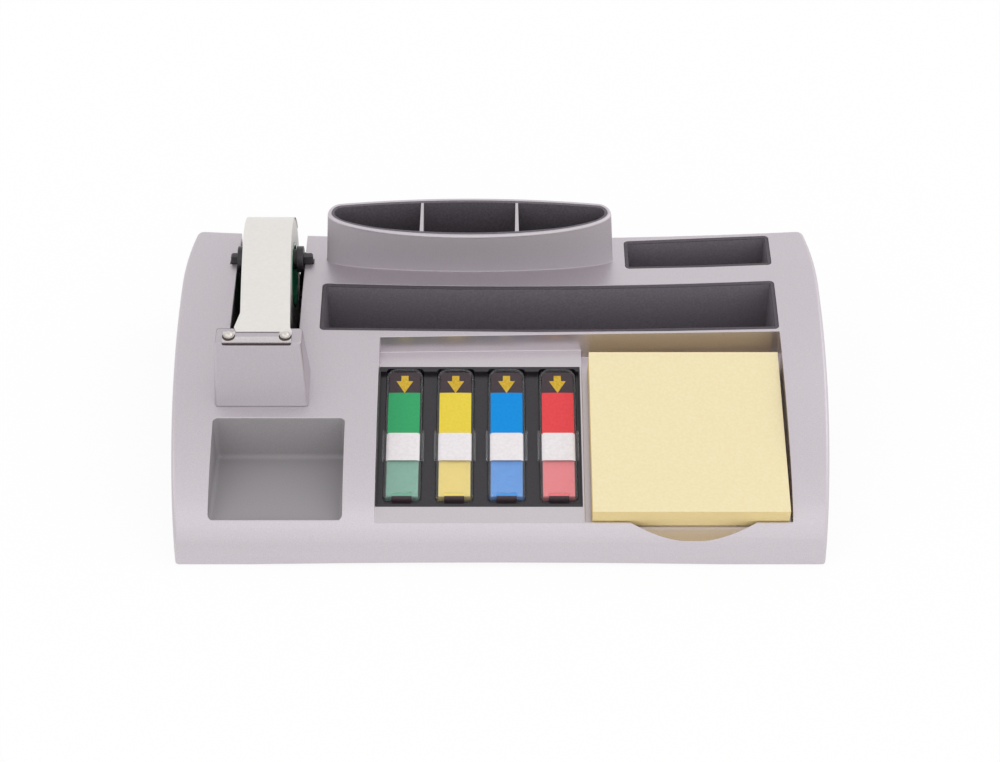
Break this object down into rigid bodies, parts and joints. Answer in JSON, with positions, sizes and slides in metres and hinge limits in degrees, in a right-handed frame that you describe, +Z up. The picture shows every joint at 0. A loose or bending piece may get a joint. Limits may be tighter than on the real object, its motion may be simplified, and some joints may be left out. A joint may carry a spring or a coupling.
{
  "type": "desk organizer with tape dispenser",
  "caption": "Arched desk organizer with a tape dispenser, pencil cup, open bins, page flag dispensers and a pocket for square notes.",
  "frame": {"origin": "centre of the footprint, on the desk under the feet", "axes": "+X to the user's right along the long side, +Y away from the user towards the pencil cup, +Z up"},
  "size_m": [0.263, 0.1552, 0.0726],
  "materials": {
    "silver_plastic": "satin metallic lacquer",
    "dark_plastic": "fine texture",
    "black_plastic": "satin",
    "foot_rubber": "matt",
    "steel": "bright",
    "note_paper": "uncoated",
    "core_plastic": "gloss",
    "tape_film": "frosted film",
    "white_film": "coated",
    "clear_plastic": "clear",
    "tab_green": "film",
    "tab_yellow": "film",
    "tab_blue": "film",
    "tab_red": "film",
    "stack_green": "film",
    "stack_yellow": "film",
    "stack_blue": "film",
    "stack_red": "film"
  },
  "bodies": {
    "housing": {"ballast_plate": "steel", "base_plate": "dark_plastic", "base_screws": "steel", "blade_rivets": "steel", "cup_divider_left": "silver_plastic", "cup_divider_right": "silver_plastic", "cup_liner": "dark_plastic", "cup_shell": "silver_plastic", "cutter_blade": "steel", "cutter_block": "silver_plastic", "flag_tray": "black_plastic", "foot_front_left": "foot_rubber", "foot_front_right": "foot_rubber", "foot_rear_left": "foot_rubber", "foot_rear_right": "foot_rubber", "storage_tray": "dark_plastic", "top_shell": "silver_plastic", "well_liner": "black_plastic"},
    "spindle": {"tape_spindle": "black_plastic", "tape_strip": "tape_film"},
    "tape": {"tape_roll": "tape_film", "tape_core": "core_plastic"},
    "notes": {"note_pad": "note_paper"},
    "flags_green": {"flag_case_green": "clear_plastic", "flag_stack_green": "stack_green", "flag_band_green": "white_film", "flag_tab_green": "tab_green"},
    "flags_yellow": {"flag_case_yellow": "clear_plastic", "flag_stack_yellow": "stack_yellow", "flag_band_yellow": "white_film", "flag_tab_yellow": "tab_yellow"},
    "flags_blue": {"flag_case_blue": "clear_plastic", "flag_stack_blue": "stack_blue", "flag_band_blue": "white_film", "flag_tab_blue": "tab_blue"},
    "flags_red": {"flag_case_red": "clear_plastic", "flag_stack_red": "stack_red", "flag_band_red": "white_film", "flag_tab_red": "tab_red"}
  },
  "joints": [
    {"name": "spindle_lift", "type": "slide", "parent": "housing", "child": "spindle", "axis": [0, 0, 1], "range_m": [0, 0.06]},
    {"name": "tape_spin", "type": "hinge", "parent": "spindle", "child": "tape", "pos_m": [-0.0955, 0.054, 0.0412], "axis": [1, 0, 0], "continuous": true},
    {"name": "notes_lift", "type": "slide", "parent": "housing", "child": "notes", "axis": [0, -0.2487, 0.9686], "range_m": [0, 0.03]},
    {"name": "flags_green_lift", "type": "slide", "parent": "housing", "child": "flags_green", "axis": [0, -0.2487, 0.9686], "range_m": [0, 0.03]},
    {"name": "flags_yellow_lift", "type": "slide", "parent": "housing", "child": "flags_yellow", "axis": [0, -0.2487, 0.9686], "range_m": [0, 0.03]},
    {"name": "flags_blue_lift", "type": "slide", "parent": "housing", "child": "flags_blue", "axis": [0, -0.2487, 0.9686], "range_m": [0, 0.03]},
    {"name": "flags_red_lift", "type": "slide", "parent": "housing", "child": "flags_red", "axis": [0, -0.2487, 0.9686], "range_m": [0, 0.03]}
  ]
}
